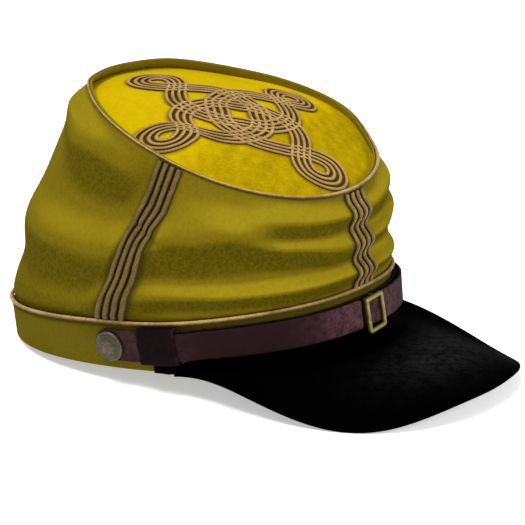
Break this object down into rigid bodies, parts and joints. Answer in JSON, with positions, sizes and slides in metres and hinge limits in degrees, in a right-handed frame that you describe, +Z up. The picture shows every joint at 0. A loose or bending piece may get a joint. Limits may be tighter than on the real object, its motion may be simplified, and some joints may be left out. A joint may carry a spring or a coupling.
{
  "type": "kepi cap",
  "caption": "Kepi cap with a sunken top, braid up the crown and over it, a twisted cord round the band, a leather peak and a buckled chin strap.",
  "frame": {"origin": "middle of the bounding box in X and Y, on the surface the cap rests on", "axes": "+Z up, -Y to the front of the cap, where the peak is, +X to the wearer's left"},
  "size_m": [0.183, 0.2862, 0.1406],
  "materials": {
    "felt": "olive-mustard wool felt, dull and slightly fuzzy",
    "top_felt": "bright yellow wool felt",
    "braid": "tan-gold corded braid with a soft sheen",
    "peak_leather": "black leather with a soft broad gloss",
    "strap_leather": "purplish brown grained leather, matt",
    "keeper_leather": "very dark brown leather, matt",
    "old_brass": "dull old brass"
  },
  "bodies": {
    "root": {"band": "felt", "crown_side": "felt", "crown_top": "top_felt", "band_cord": "braid", "rim_cord": "braid", "braid_front_1": "braid", "braid_front_2": "braid", "braid_front_3": "braid", "braid_front_4": "braid", "braid_right_1": "braid", "braid_right_2": "braid", "braid_right_3": "braid", "braid_right_4": "braid", "braid_left_1": "braid", "braid_left_2": "braid", "braid_left_3": "braid", "braid_left_4": "braid", "braid_back_1": "braid", "braid_back_2": "braid", "braid_back_3": "braid", "braid_back_4": "braid", "crown_knot": "braid", "visor": "peak_leather", "chin_strap": "strap_leather", "chin_strap_under": "keeper_leather", "strap_keeper": "keeper_leather", "buckle": "old_brass", "button_right": "old_brass", "button_left": "old_brass"}
  },
  "joints": []
}
